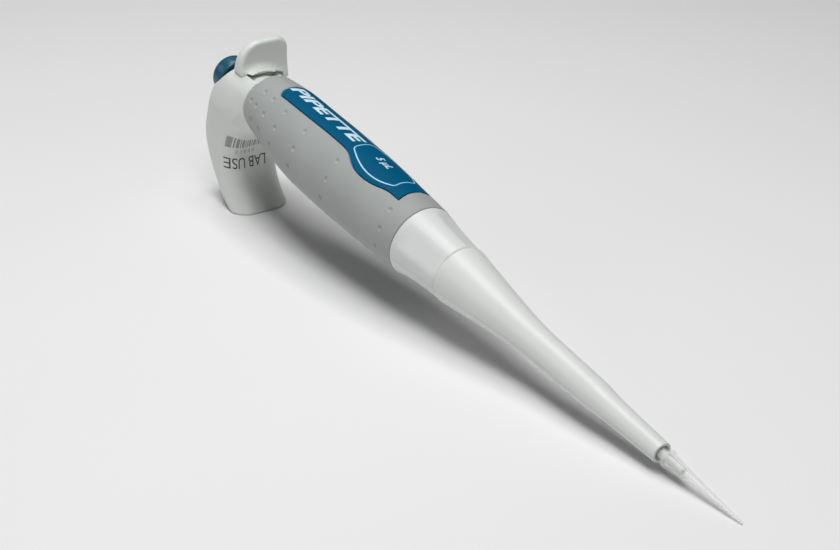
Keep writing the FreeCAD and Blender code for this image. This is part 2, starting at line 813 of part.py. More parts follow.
def grip_and_label():
    shell = shell_contour()
    lip, top = mm("grip_lip_radius"), mm("grip_top")
    edges = [curve_through(GRIP_CONTOUR), curve_through(shell)] + straight_through([
        GRIP_CONTOUR[0], shell[0],
    ]) + straight_through([
        shell[-1], (lip + 0.5, shell[-1][1]), (lip, top - 6), (lip, top), GRIP_CONTOUR[-1],
    ])
    core = contour_solid(-mm("label_depth"))
    grip = lathe(edges).cut(label_prism(mm("label_fit")).cut(core))
    grip = grip.cut(above_seam(0, -mm("label_turn")))
    label = label_prism(0.0).common(contour_solid(mm("label_stands"))).cut(core)
    shaped("grip_sleeve", solid_of(grip))
    shaped("label_insert", solid_of(label))


# ---------------------------------------------------------------- head shell and finger hook
def head_turning():
    low, top = mm("head_skirt_low"), mm("head_top")
    low_r, top_r = mm("head_low_radius"), mm("head_top_radius")
    cavity, floor = mm("head_cavity_radius"), mm("head_floor")
    core, neck, neck_low = mm("core_radius"), mm("neck_radius"), mm("neck_low")
    middle = (low + top) / 2
    outer = curve_through([(low_r, low), (low_r + 0.1, middle), (top_r, top - 1.0)])
    rim = Part.Arc(Vector(top_r, 0, top - 1.0), Vector(top_r - 0.45, 0, top - 0.2),
                   Vector(top_r - 1.0, 0, top)).toShape()
    skirt = lathe([outer, rim] + straight_through([
        (top_r - 1.0, top), (cavity, top), (cavity, floor), (neck, floor), (neck, low),
        (low_r, low),
    ])).common(above_seam(mm("seam_gap")))
    tube_inside = Part.makeCylinder(core, floor - neck_low, Vector(0, 0, neck_low))
    tube_outside = Part.makeCylinder(neck, floor - neck_low, Vector(0, 0, neck_low))
    return skirt.fuse(tube_outside.cut(tube_inside))


def finger_hook():
    """A curved claw of even width, longer than it will be once its foot is cut flat."""
    back = [(-8.0, 278.0), (-14.0, 281.0), (-21.0, 281.8), (-28.0, 279.0), (-34.5, 274.6),
            (-41.0, 268.3), (-47.5, 261.0)]
    inner = [(-50.5, 243.5), (-43.7, 252.4), (-32.7, 260.0), (-24.5, 262.0), (-11.0, 257.0)]
    half = mm("hook_half_width")

    def at(point):
        return Vector(point[0], -half, point[1])

    def spline(points):
        line = Part.BSplineCurve()
        line.interpolate([at(point) for point in points])
        return line.toShape()

    root = (-6.5, inner[-1][1])
    edges = [spline(back), spline(inner)] + [
        Part.makeLine(at(a), at(b))
        for a, b in ((back[-1], inner[0]), (inner[-1], root), (root, back[0]))
    ]
    claw = Part.Face(Part.Wire(Part.__sortEdges__(edges))).extrude(Vector(0, 2 * half, 0))
    long_edges = [e for e in claw.Edges if isinstance(e.Curve, Part.BSplineCurve)]
    return claw.makeFillet(mm("hook_edge_radius"), long_edges)


def head_shell():
    floor = mm("head_floor")
    cavity = Part.makeCylinder(mm("head_cavity_radius"), 30, Vector(0, 0, floor))
    bore = Part.makeCylinder(mm("neck_radius"), 40, Vector(0, 0, floor - 40))
    claw = finger_hook().common(above_seam(mm("seam_gap")))
    below_bench = Part.makeBox(800, 80, 60, Vector(-500, -40, -60))
    below_bench.Placement = resting_place(0).inverse()
    window = ring_sector(mm("neck_radius"), 16.0, mm("window_low"), mm("window_top"),
                         mm("window_half_angle"))
    channel = rod_channel(mm("neck_low"), mm("window_top"), mm("core_radius") - 0.5, 9.0)
    opening = window.fuse(channel)
    opening.rotate(Vector(0, 0, 0), Vector(0, 0, 1), mm("label_turn"))
    head = head_turning().fuse(claw.cut(cavity).cut(bore)).cut(below_bench).cut(opening)
    return shaped("head_shell", solid_of(head.removeSplitter()))


# ---------------------------------------------------------------- build, lay down and write
pipette_tip()
ejector_sleeve()
sleeve_ring()
strip_and_pin()
ejector_paddle()
nozzle_shaft()
piston_group()
handle_core()
core_fittings()
plunger_rod()
plunger_button()
coupling_nut()
coil("ejector_spring", 4.85, mm("spring_wire"), mm("shaft_shoulder_top"), mm("ring_low"), 7)
front_collar()
handle_shell()
grip_and_label()
head_shell()
doc.recompute()

# the ejector and the label face a little to one side of the finger hook's plane
FRONT_PIECES = ("ejector_paddle", "ejector_strip", "link_pin", "label_insert", "grip_sleeve",
                "handle_shell")
about_axis = FreeCAD.Rotation(Vector(0, 0, 1), mm("label_turn"))
for name in FRONT_PIECES:
    turned_round = FreeCAD.Placement(Vector(0, 0, 0), about_axis)
    pieces[name].Placement = turned_round.multiply(pieces[name].Placement)

lying = resting_place(0)
for thing in pieces.values():
    thing.Placement = lying.multiply(thing.Placement)
doc.recompute()

low_x = min(thing.Shape.optimalBoundingBox().XMin for thing in pieces.values())
high_x = max(thing.Shape.optimalBoundingBox().XMax for thing in pieces.values())
centring = FreeCAD.Placement(Vector(-(low_x + high_x) / 2, 0, 0), FreeCAD.Rotation())
for thing in pieces.values():
    thing.Placement = centring.multiply(thing.Placement)
doc.recompute()

for thing in doc.Objects:
    if {"Invalid", "Error"} & set(thing.State):
        raise RuntimeError("%s did not compute: %s" % (thing.Name, thing.State))

os.makedirs("parts", exist_ok=True)
for name, thing in pieces.items():
    if thing.Shape.isNull() or not thing.Shape.isValid() or not thing.Shape.Solids:
        raise RuntimeError("%s has no valid solid" % name)
    thing.Shape.exportStep("parts/%s.step" % name)
print("pieces: %d, tip end at x = %.3f" % (len(pieces), centring.Base.x))
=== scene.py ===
"""Single-channel fixed-volume pipette with a fitted tip, lying on a pale bench.

Pieces are drawn in the pipette's own upright frame, in millimetres: Z is the distance along the
axis from the end of the tip, X points to the side opposite the finger hook. UPRIGHT then lays
them down into the row frame, in metres.
"""
import json
import math

import bmesh
import bpy
import numpy as np
from mathutils import Matrix, Vector


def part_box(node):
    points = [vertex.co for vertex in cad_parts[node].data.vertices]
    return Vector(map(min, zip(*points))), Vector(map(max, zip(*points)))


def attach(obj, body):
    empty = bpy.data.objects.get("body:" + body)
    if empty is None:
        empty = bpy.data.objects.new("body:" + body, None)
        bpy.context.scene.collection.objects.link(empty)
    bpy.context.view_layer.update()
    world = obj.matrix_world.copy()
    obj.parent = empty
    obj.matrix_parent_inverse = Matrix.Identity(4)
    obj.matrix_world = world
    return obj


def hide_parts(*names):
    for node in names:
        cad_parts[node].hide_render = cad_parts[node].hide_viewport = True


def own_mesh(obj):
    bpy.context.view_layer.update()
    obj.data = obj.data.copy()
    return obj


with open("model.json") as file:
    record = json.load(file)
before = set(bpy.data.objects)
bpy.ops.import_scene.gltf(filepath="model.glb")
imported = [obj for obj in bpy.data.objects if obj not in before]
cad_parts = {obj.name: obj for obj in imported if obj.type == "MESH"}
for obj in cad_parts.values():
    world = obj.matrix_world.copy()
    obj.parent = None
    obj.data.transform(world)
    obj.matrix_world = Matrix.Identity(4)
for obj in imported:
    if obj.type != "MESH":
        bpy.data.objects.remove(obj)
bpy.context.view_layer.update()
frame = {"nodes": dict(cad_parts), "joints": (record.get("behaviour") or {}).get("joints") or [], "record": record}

MM = 0.001

# ------------------------------------------------------------------ where the pipette lies
JOINTS = {joint["name"]: joint for joint in frame["joints"]}
AXIS = Vector(JOINTS["plunger_slide"]["axis"]).normalized()
TIP_END_RADIUS = 0.42
LIE_COS, LIE_SIN = AXIS.x, -AXIS.z
TIP_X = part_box("pipette_tip")[1][0] / MM - TIP_END_RADIUS * LIE_SIN
TIP_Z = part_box("pipette_tip")[0][2] / MM + TIP_END_RADIUS * LIE_COS
UPRIGHT = Matrix.Scale(MM, 4) @ Matrix((
    (LIE_SIN, 0.0, -LIE_COS, TIP_X),
    (0.0, 1.0, 0.0, 0.0),
    (LIE_COS, 0.0, LIE_SIN, TIP_Z),
    (0.0, 0.0, 0.0, 1.0),
))


def upright_points(mesh):
    """A laid-down mesh's points in the upright frame, in mm."""
    points = np.empty(len(mesh.vertices) * 3)
    mesh.vertices.foreach_get("co", points)
    back = np.array(UPRIGHT.inverted())
    return points.reshape(-1, 3) @ back[:3, :3].T + back[:3, 3]


def span(node):
    """Lowest and highest place of a CAD node along the pipette's axis, in mm from the tip."""
    heights = upright_points(frame["nodes"][node].data)[:, 2]
    return heights.min(), heights.max()


# ------------------------------------------------------------------ sizes, in mm
LABEL_TURN = math.radians(9.0)
LABEL_COS, LABEL_SIN = math.cos(LABEL_TURN), math.sin(LABEL_TURN)
GRIP_LOW = span("grip_sleeve")[0]
GRIP_CONTOUR = np.array([
    (GRIP_LOW, 12.8), (187.0, 14.25), (212.0, 14.6), (244.0, 12.9), (256.5, 11.4),
])
GRIP_SHIFT, GRIP_WALL = 1.6, 1.82
SEAM_FRONT, SEAM_DROP = 253.5, 5.904
WINDOW_HALF = math.radians(35.5)
TONGUE_HALF = math.radians(32.5)
LABEL_STANDS = 0.1

COLLAR_LOW = span("ejector_sleeve")[1] - 8.0
SLEEVE_END = span("ejector_sleeve")[0]
TIP_TOP = span("pipette_tip")[1]
BUTTON_TOP = span("plunger_button")[1]
HEAD_TOP = 275.0
HEAD_FLOOR = 262.0


# ------------------------------------------------------------------ curves
def spline(knots, values, at):
    """Natural cubic spline through the knots."""
    knots, values = np.asarray(knots, float), np.asarray(values, float)
    gaps = np.diff(knots)
    slopes = np.diff(values) / gaps
    matrix, right = np.eye(len(knots)), np.zeros(len(knots))
    for i in range(1, len(knots) - 1):
        matrix[i, i - 1:i + 2] = gaps[i - 1], 2 * (gaps[i - 1] + gaps[i]), gaps[i]
        right[i] = 6 * (slopes[i] - slopes[i - 1])
    bend = np.linalg.solve(matrix, right)
    k = np.clip(np.searchsorted(knots, at) - 1, 0, len(knots) - 2)
    before, after, gap = at - knots[k], knots[k + 1] - at, gaps[k]
    cubic = (bend[k] * after ** 3 + bend[k + 1] * before ** 3) / (6 * gap)
    return (cubic + (values[k] / gap - bend[k] * gap / 6) * after
            + (values[k + 1] / gap - bend[k + 1] * gap / 6) * before)


def curve_points(points, count):
    """Points along a smooth curve through a few given ones."""
    points = np.asarray(points, float)
    run = np.r_[0, np.cumsum(np.hypot(*np.diff(points, axis=0).T))]
    at = np.linspace(0, run[-1], count)
    return np.stack([spline(run, points[:, k], at) for k in (0, 1)], axis=1)


def smoothstep(low, high, value):
    t = np.clip((value - low) / (high - low), 0, 1)
    return t * t * (3 - 2 * t)


def rounded(corners, steps=5):
    """A closed outline whose corners (a, b, rounding) are rounded by a short curve."""
    points = [np.array(corner[:2], float) for corner in corners]
    outline = []
    for i, (here, corner) in enumerate(zip(points, corners)):
        if len(corner) < 3 or not corner[2]:
            outline.append(here)
            continue
        arms = []
        for other in (points[i - 1], points[(i + 1) % len(points)]):
            length = np.linalg.norm(other - here)
            arms.append(here + (other - here) / length * min(corner[2], 0.48 * length))
        for t in np.linspace(0, 1, steps):
            outline.append((1 - t) ** 2 * arms[0] + 2 * t * (1 - t) * here + t * t * arms[1])
    return np.array(outline)


# ------------------------------------------------------------------ meshes
def grid_faces(rows, columns, wrap_rows=False, wrap_columns=True):
    i, j = np.meshgrid(np.arange(rows - (not wrap_rows)), np.arange(columns - (not wrap_columns)),
                       indexing="ij")
    above, beside = (i + 1) % rows, (j + 1) % columns
    corners = (i * columns + j, i * columns + beside, above * columns + beside, above * columns + j)
    return np.stack(corners, axis=-1).reshape(-1, 4)


def new_piece(name, points, faces, sharp=40.0, weld=0.002):
    """A smooth-shaded mesh object from upright points, laid down into the row frame."""
    mesh = bpy.data.meshes.new(name)
    mesh.from_pydata(np.asarray(points, float).reshape(-1, 3).tolist(), [],
                     [tuple(map(int, face)) for face in faces])
    bm = bmesh.new()
    bm.from_mesh(mesh)
    bmesh.ops.remove_doubles(bm, verts=bm.verts, dist=weld)
    bmesh.ops.dissolve_degenerate(bm, edges=bm.edges, dist=weld / 2)
    bmesh.ops.recalc_face_normals(bm, faces=bm.faces)
    bm.to_mesh(mesh)
    bm.free()
    mesh.transform(UPRIGHT)
    mesh.shade_smooth()
    mesh.set_sharp_from_angle(angle=math.radians(sharp))
    piece = bpy.data.objects.new(name, mesh)
    bpy.context.collection.objects.link(piece)
    return piece


def finish_piece(piece, material, body, slot, *nodes):
    """Gives a piece its material and body, and hides the CAD nodes that it stands for; slot is not used."""
    piece.data.materials.clear()
    piece.data.materials.append(material)
    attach(piece, body)
    if nodes:
        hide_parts(*nodes)
    return piece


def lathe(name, outline, segments=160, sharp=40.0):
    """A closed outline of (radius, height) turned about the axis."""
    radius, height = np.asarray(outline, float).T
    turn = np.linspace(0, 2 * math.pi, segments, endpoint=False)
    points = np.stack([
        radius[:, None] * np.cos(turn), radius[:, None] * np.sin(turn),
        np.broadcast_to(height[:, None], (len(height), segments)),
    ], axis=-1)
    return new_piece(name, points, grid_faces(len(height), segments, wrap_rows=True), sharp)


def slab(name, top, bottom, wrap=False, sharp=40.0):
    """A closed sheet between two grids of points with the same rows and columns."""
    rows, columns = top.shape[:2]
    size = rows * columns
    upper = grid_faces(rows, columns, wrap_rows=wrap, wrap_columns=False)
    ids = np.arange(size).reshape(rows, columns)
    rims = [ids[:, 0], ids[::-1, -1]]
    if wrap:
        rims = [np.r_[rim, rim[:1]] for rim in rims]
    else:
        rims += [ids[-1, :], ids[0, ::-1]]
    walls = [(a, b, b + size, a + size) for rim in rims for a, b in zip(rim[:-1], rim[1:])]
    faces = list(upper) + list(upper[:, ::-1] + size) + walls
    return new_piece(name, np.concatenate([top.reshape(-1, 3), bottom.reshape(-1, 3)]), faces,
                     sharp)


# ------------------------------------------------------------------ moulded forms from fields
def smooth_min(a, b, blend):
    t = np.clip(0.5 + 0.5 * (b - a) / blend, 0, 1)
    return b + (a - b) * t - blend * t * (1 - t)


def smooth_max(a, b, blend):
    return -smooth_min(-a, -b, blend)


def outline_distance(outline, a, b):
    """Distance from points (a, b) to a closed outline, negative inside."""
    nearest, inside = np.full(a.shape, 1e9), np.zeros(a.shape, bool)
    for (a0, b0), (a1, b1) in zip(outline, np.roll(outline, -1, axis=0)):
        along_a, along_b = a1 - a0, b1 - b0
        t = np.clip(((a - a0) * along_a + (b - b0) * along_b) / (along_a ** 2 + along_b ** 2), 0, 1)
        nearest = np.minimum(nearest, (a - a0 - t * along_a) ** 2 + (b - b0 - t * along_b) ** 2)
        if along_b:
            inside ^= ((b0 <= b) != (b1 <= b)) & (a < a0 + along_a * (b - b0) / along_b)
    return np.where(inside, -1.0, 1.0) * np.sqrt(nearest)


class Table:
    """A function of two lengths, worked out once on a fine grid and read between its points."""

    def __init__(self, function, low, high, step):
        self.low, self.step = np.array(low, float), step
        sides = [np.arange(lo, hi + step, step) for lo, hi in zip(low, high)]
        self.values = function(*np.meshgrid(*sides, indexing="ij"))

    def __call__(self, a, b):
        place = [(v - lo) / self.step for v, lo in zip((a, b), self.low)]
        cell = [np.clip(p.astype(int), 0, n - 2) for p, n in zip(place, self.values.shape)]
        s, t = (p - c for p, c in zip(place, cell))
        i, j = cell
        near = self.values[i, j] * (1 - t) + self.values[i, j + 1] * t
        far = self.values[i + 1, j] * (1 - t) + self.values[i + 1, j + 1] * t
        return near * (1 - s) + far * s


def field_mesh(field, low, high, step):
    """Points and quads of the zero level of field(x, y, z), moved exactly onto it."""
    sides = [np.arange(lo, hi + step, step) for lo, hi in zip(low, high)]
    values = field(*np.meshgrid(*sides, indexing="ij"))
    cells = tuple(n - 1 for n in values.shape)
    corner = {}
    for shift in np.ndindex(2, 2, 2):
        corner[shift] = values[tuple(slice(k, k + n) for k, n in zip(shift, cells))]
    total, hits = np.zeros(cells + (3,)), np.zeros(cells)
    for axis in range(3):
        for shift in np.ndindex(2, 2):
            start = list(shift)
            start.insert(axis, 0)
            end = list(start)
            end[axis] = 1
            a, b = corner[tuple(start)], corner[tuple(end)]
            crossed = (a < 0) != (b < 0)
            part = np.where(crossed, a / np.where(crossed, a - b, 1.0), 0.0)
            for k in range(3):
                total[..., k] += crossed * (part if k == axis else start[k])
            hits += crossed
    mixed = hits > 0
    number = np.full(cells, -1)
    number[mixed] = np.arange(mixed.sum())
    places = np.argwhere(mixed) + total[mixed] / hits[mixed][:, None]
    points = places * step + np.array(low, float)
    faces = []
    for axis in range(3):
        a, b = [k for k in range(3) if k != axis]
        inner = [slice(1, n - 1) for n in values.shape]
        inner[axis] = slice(0, values.shape[axis] - 1)
        ahead = list(inner)
        ahead[axis] = slice(1, values.shape[axis])
        crossing = np.argwhere((values[tuple(inner)] < 0) != (values[tuple(ahead)] < 0))
        crossing[:, a] += 1
        crossing[:, b] += 1
        ring = []
        for da, db in ((0, 0), (1, 0), (1, 1), (0, 1)):
            cell = crossing.copy()
            cell[:, a] -= da
            cell[:, b] -= db
            ring.append(number[tuple(cell.T)])
        faces.append(np.stack(ring, axis=1))
    for _ in range(4):
        here = field(*points.T)
        slope = np.stack([
            field(*(points + shift).T) - field(*(points - shift).T)
            for shift in np.eye(3) * 0.05
        ], axis=1) / 0.1
        steepness = np.maximum((slope ** 2).sum(axis=1), 0.25)
        move = -slope * (here / steepness)[:, None]
        points += np.clip(move, -step / 2, step / 2)
    return points, np.concatenate(faces)


# ------------------------------------------------------------------ materials
def nodes_of(name):
    material = bpy.data.materials.new(name)
    material.use_nodes = True
    tree = material.node_tree
    shader = tree.nodes["Principled BSDF"]
    return material, tree, shader


def grain(tree, scale, detail=3.0, roughness=0.5):
    """Noise through the solid, with scale in grains per millimetre."""
    place = tree.nodes.new("ShaderNodeTexCoord")
    noise = tree.nodes.new("ShaderNodeTexNoise")
    noise.inputs["Scale"].default_value = scale / MM
    noise.inputs["Detail"].default_value = detail
    noise.inputs["Roughness"].default_value = roughness
    tree.links.new(place.outputs["Object"], noise.inputs["Vector"])
    return noise.outputs["Fac"]


def remap(tree, value, low, high):
    node = tree.nodes.new("ShaderNodeMapRange")
    node.inputs["From Min"].default_value = 0.25
    node.inputs["From Max"].default_value = 0.75
    node.inputs["To Min"].default_value = low
    node.inputs["To Max"].default_value = high
    tree.links.new(value, node.inputs["Value"])
    return node.outputs["Result"]


def mixed_colour(tree, value, first, second):
    node = tree.nodes.new("ShaderNodeMix")
    node.data_type = "RGBA"
    tree.links.new(value, node.inputs["Factor"])
    node.inputs[6].default_value = (*first, 1.0)
    node.inputs[7].default_value = (*second, 1.0)
    return node.outputs[2]


def bumped(tree, shader, value, depth):
    """Relief of the given depth in millimetres."""
    bump = tree.nodes.new("ShaderNodeBump")
    bump.inputs["Distance"].default_value = depth * MM
    bump.inputs["Strength"].default_value = 1.0
    tree.links.new(value, bump.inputs["Height"])
    tree.links.new(bump.outputs["Normal"], shader.inputs["Normal"])


def moulded(name, colour, roughness, texture=0.004, texture_scale=6.0, shade=0.03, sheen=0.0,
            scatter=0.0):
    """Moulded plastic or rubber: fine surface texture, faint cloudiness, uneven gloss."""
    material, tree, shader = nodes_of(name)
    cloudy = remap(tree, grain(tree, 0.07), 0.0, 1.0)
    darker = tuple(c * (1 - shade) for c in colour)
    tree.links.new(mixed_colour(tree, cloudy, darker, colour), shader.inputs["Base Color"])
    uneven = remap(tree, grain(tree, 0.35), roughness - 0.04, roughness + 0.05)
    tree.links.new(uneven, shader.inputs["Roughness"])
    shader.inputs["Sheen Weight"].default_value = sheen
    shader.inputs["Subsurface Weight"].default_value = scatter
    shader.inputs["Subsurface Radius"].default_value = (0.0012, 0.0011, 0.001)
    shader.inputs["Subsurface Scale"].default_value = 1.0
    bumped(tree, shader, grain(tree, texture_scale, detail=4.0), texture)
    return material


def glossy(name, colour, roughness, coat=0.6, specular=0.5):
    """Glossy coloured plastic with a clear skin and a faint orange-peel."""
    material, tree, shader = nodes_of(name)
    cloudy = remap(tree, grain(tree, 0.1), 0.0, 1.0)
    deeper = tuple(c * 0.9 for c in colour)
    tree.links.new(mixed_colour(tree, cloudy, deeper, colour), shader.inputs["Base Color"])
    tree.links.new(remap(tree, grain(tree, 0.5), roughness - 0.03, roughness + 0.05),
                   shader.inputs["Roughness"])
    shader.inputs["Specular IOR Level"].default_value = specular
    shader.inputs["Coat Weight"].default_value = coat
    shader.inputs["Coat Roughness"].default_value = 0.08
    bumped(tree, shader, grain(tree, 0.9), 0.004)
    return material


def metal(name, colour, roughness):
    """Turned or drawn metal: fine scratches and slightly uneven gloss."""
    material, tree, shader = nodes_of(name)
    fine = grain(tree, 9.0, detail=5.0, roughness=0.7)
    tree.links.new(mixed_colour(tree, remap(tree, fine, 0.0, 1.0),
                                tuple(c * 0.85 for c in colour), colour),
                   shader.inputs["Base Color"])
    shader.inputs["Metallic"].default_value = 1.0
    tree.links.new(remap(tree, grain(tree, 2.0), roughness - 0.06, roughness + 0.08),
                   shader.inputs["Roughness"])
    bumped(tree, shader, fine, 0.003)
    return material


def translucent(name, colour, roughness, solidity=0.26):
    """Thin natural polypropylene: milky, and seen through."""
    material, tree, shader = nodes_of(name)
    cloudy = remap(tree, grain(tree, 0.4), 0.0, 1.0)
    tree.links.new(mixed_colour(tree, cloudy, tuple(c * 0.97 for c in colour), colour),
                   shader.inputs["Base Color"])
    tree.links.new(remap(tree, grain(tree, 1.5), roughness - 0.05, roughness + 0.08),
                   shader.inputs["Roughness"])
    shader.inputs["Alpha"].default_value = solidity
    shader.inputs["Specular IOR Level"].default_value = 0.7
    bumped(tree, shader, grain(tree, 1.2), 0.003)
    return material


WHITE = (0.70, 0.725, 0.70)
# one material for each of the record's slots
MATERIALS = {
    "shell_white": moulded("shell_plastic", WHITE, 0.42, scatter=0.05),
    "collar_white": moulded("collar_plastic", (0.71, 0.73, 0.715), 0.36, scatter=0.05),
    "sleeve_white": moulded("sleeve_plastic", (0.735, 0.75, 0.735), 0.36, scatter=0.05),
    "paddle_white": moulded("paddle_plastic", (0.72, 0.745, 0.71), 0.38, scatter=0.05),
    "grip_grey": moulded("grip_rubber", (0.355, 0.372, 0.364), 0.66, texture=0.012,
                         texture_scale=3.5, shade=0.09, sheen=0.15),
    "label_blue": glossy("label_film", (0.0, 0.095, 0.2), 0.5, coat=0.0, specular=0.04),
    "button_blue": glossy("button_plastic", (0.012, 0.095, 0.15), 0.36, coat=0.2,
                          specular=0.35),
    "insert_blue": glossy("insert_plastic", (0.01, 0.08, 0.16), 0.28),
    "tip_clear": translucent("tip_polypropylene", (0.85, 0.87, 0.85), 0.28),
    "core_grey": moulded("core_plastic", (0.12, 0.125, 0.13), 0.5, texture=0.01),
    "bush_white": moulded("bush_acetal", (0.78, 0.78, 0.74), 0.4),
    "steel": metal("stainless_steel", (0.60, 0.60, 0.61), 0.25),
    "spring_steel": metal("spring_wire", (0.48, 0.47, 0.46), 0.3),
    "seal_black": moulded("seal_rubber", (0.02, 0.02, 0.02), 0.5, texture=0.01),
    "seal_white": moulded("seal_ptfe", (0.8, 0.8, 0.78), 0.45),
}
LETTERING = moulded("letter_ink", (0.62, 0.82, 0.92), 0.35)
OUTLINE_INK = moulded("outline_ink", (0.30, 0.62, 0.85), 0.35)
DARK_INK = moulded("dark_ink", (0.07, 0.08, 0.075), 0.5, shade=0.3)
GREY_INK = moulded("grey_ink", (0.33, 0.345, 0.34), 0.5, shade=0.2)


def seam_height(x):
    """Height of the joint between the grip and the head, level in front and falling behind."""
    level, lowest = smoothstep(-6.0, 14.0, -1.0), smoothstep(-6.0, 14.0, 8.0)
    fall = smoothstep(-6.0, 14.0, np.clip(1.0 - x, -1.0, 8.0))
    return SEAM_FRONT - SEAM_DROP * (fall - level) / (lowest - level)


# ------------------------------------------------------------------ soft grip
LABEL_HALF = np.array([
    (163.9, 6.65), (166.5, 6.75), (169.8, 7.1), (173.3, 8.15), (177.5, 9.35), (181.5, 9.85),
    (185.4, 9.8), (188.8, 9.15), (192.0, 7.85), (195.0, 6.65), (199.0, 6.2), (206.0, 6.2),
    (220.0, 6.45), (240.9, 6.9),
])
LABEL_LOW, LABEL_TOP = LABEL_HALF[0, 0], LABEL_HALF[-1, 0]
LABEL_CROWN, LABEL_HOLLOW = 2.1, 0.8


def grip_shape(height):
    """Radius of the grip and how far its centre is set towards the label."""
    narrowing = smoothstep(218.0, 248.0, height)
    return spline(*GRIP_CONTOUR.T, height) - 0.35 * narrowing, GRIP_SHIFT * narrowing


def on_grip(height, turn, raised=0.0):
    """Points on the grip's surface; turn is measured from the label's middle."""
    radius, forward = grip_shape(height)
    turn = turn + LABEL_TURN
    reach = radius + raised
    return np.stack([reach * np.cos(turn) + forward * LABEL_COS,
                     reach * np.sin(turn) + forward * LABEL_SIN,
                     height * np.ones_like(turn)], axis=-1)


DIMPLE_LOW, DIMPLE_GAP, DIMPLE_CLOSING = 162.2, 32.0, 0.665
DIMPLE_RADIUS, DIMPLE_DEPTH = 1.15, 0.52


def label_edge(height, across):
    """How far a place on the unrolled grip is outside the label, negative inside."""
    half = spline(*LABEL_HALF.T, np.clip(height, LABEL_LOW, LABEL_TOP))
    share = np.clip(np.abs(across) / half, 0, 1.2)
    crown = LABEL_TOP - LABEL_CROWN * share ** 4
    hollow = LABEL_LOW + LABEL_HOLLOW * (1 - share ** 2)
    return np.maximum.reduce([np.abs(across) - half, height - crown, hollow - height])


def dimple_places():
    """Rows of dimples down the grip, further apart towards the tip, as (height, turn)."""
    heights, gap = [DIMPLE_LOW], DIMPLE_GAP
    while len(heights) < 7:
        heights.append(heights[-1] + gap)
        gap *= DIMPLE_CLOSING
    for row in (-5, -4, -3, -2, -1, 1, 2, 3, 4, 5, 6):
        base = math.radians(43.0 + 27.0 * (abs(row) - 1))
        for index, height in enumerate(heights):
            if row % 2 and index == len(heights) - 1:
                continue
            angle = base * (1 + 0.125 * (249.0 - height) / 86.0)
            if angle <= math.radians(170.0):
                yield height + (0.6 if row % 2 else 0.0), math.copysign(angle, row)


def soft_grip():
    columns, rows = 300, 290
    turn = np.linspace(0, 2 * math.pi, columns, endpoint=False)
    end = seam_height(11.3 * np.cos(turn + LABEL_TURN) + GRIP_SHIFT)
    edge_round = 0.9
    share = np.linspace(0, 1, rows)[:, None]
    height = GRIP_LOW + 0.35 + share * (end - edge_round - GRIP_LOW - 0.35)
    radius, forward = grip_shape(height)
    folded = (turn + math.pi) % (2 * math.pi) - math.pi
    across = radius * folded
    raised = -0.6 * (1 - smoothstep(0.15, 0.5, label_edge(height, across)))
    for place, angle in dimple_places():
        away = np.hypot(height - place, radius * ((turn - angle + math.pi) % (2 * math.pi)
                                                 - math.pi))
        raised = (raised - DIMPLE_DEPTH * (1 - smoothstep(0.1, DIMPLE_RADIUS, away))
                  + 0.06 * np.exp(-((away - DIMPLE_RADIUS - 0.1) / 0.25) ** 2))
    outer = [on_grip(height, turn + 0 * height, raised)]
    # the rounded upper edge, the flat end and the bore
    end_radius = grip_shape(end - edge_round)[0]
    for t in np.linspace(0, 1, 7)[1:]:
        angle = t * math.pi / 2
        inset = edge_round * (1 - math.cos(angle))
        level = end - edge_round * (1 - math.sin(angle))
        outer.append(on_grip(level, turn, end_radius - inset - grip_shape(level)[0])[None])
    bore = [(end, 10.75), (end - 0.5, 10.25), (end - 1.5, 10.15),
            (np.minimum(end - 2.0, 246.5), 10.15), (np.minimum(end - 2.5, 246.0), 10.3)]
    for level in (238.0, 228.0, 212.0, 196.0, 180.0, 166.0, GRIP_LOW + 0.3):
        bore.append((level + 0 * end, spline(*GRIP_CONTOUR.T, np.array(level)) - GRIP_WALL))
    for level, reach in bore:
        ring = on_grip(level, turn, reach - grip_shape(level)[0])
        ring[:, 0] -= grip_shape(level)[1] * LABEL_COS
        ring[:, 1] -= grip_shape(level)[1] * LABEL_SIN
        outer.append(ring[None])
    low = GRIP_LOW + 0 * turn
    for reach, level in ((-1.6, low), (-0.4, low), (-0.12, low + 0.1)):
        outer.append(on_grip(level, turn, reach)[None])
    points = np.concatenate([part.reshape(-1, columns, 3) for part in outer])
    grip = new_piece("soft_grip", points, grid_faces(len(points), columns, wrap_rows=True), 50.0)
    return finish_piece(grip, MATERIALS["grip_grey"], "handle", "grip_grey", "grip_sleeve")


# ------------------------------------------------------------------ label
def label_plate():
    rows, columns = 190, 40
    t = np.r_[0, 0.002, np.linspace(0.004, 0.996, rows - 4), 0.998, 1][:, None]
    v = np.r_[-1, -0.985, np.linspace(-0.965, 0.965, columns - 4), 0.985, 1]
    crown = LABEL_TOP - LABEL_CROWN * v ** 4
    hollow = LABEL_LOW + LABEL_HOLLOW * (1 - v ** 2)
    height = hollow + t * (crown - hollow)
    half = spline(*LABEL_HALF.T, np.clip(height, LABEL_LOW, LABEL_TOP))
    across = v * half
    radius = grip_shape(height)[0]
    edge = np.minimum(1 - np.abs(v), np.minimum(t, 1 - t) * 6) * half
    raised = LABEL_STANDS - 0.13 * (1 - smoothstep(0.0, 0.12, edge))
    top = on_grip(height, across / radius, raised)
    bottom = on_grip(height, across / radius, -0.58)
    plate = slab("label_plate", top, bottom)
    return finish_piece(plate, MATERIALS["label_blue"], "handle", "label_blue", "label_insert")


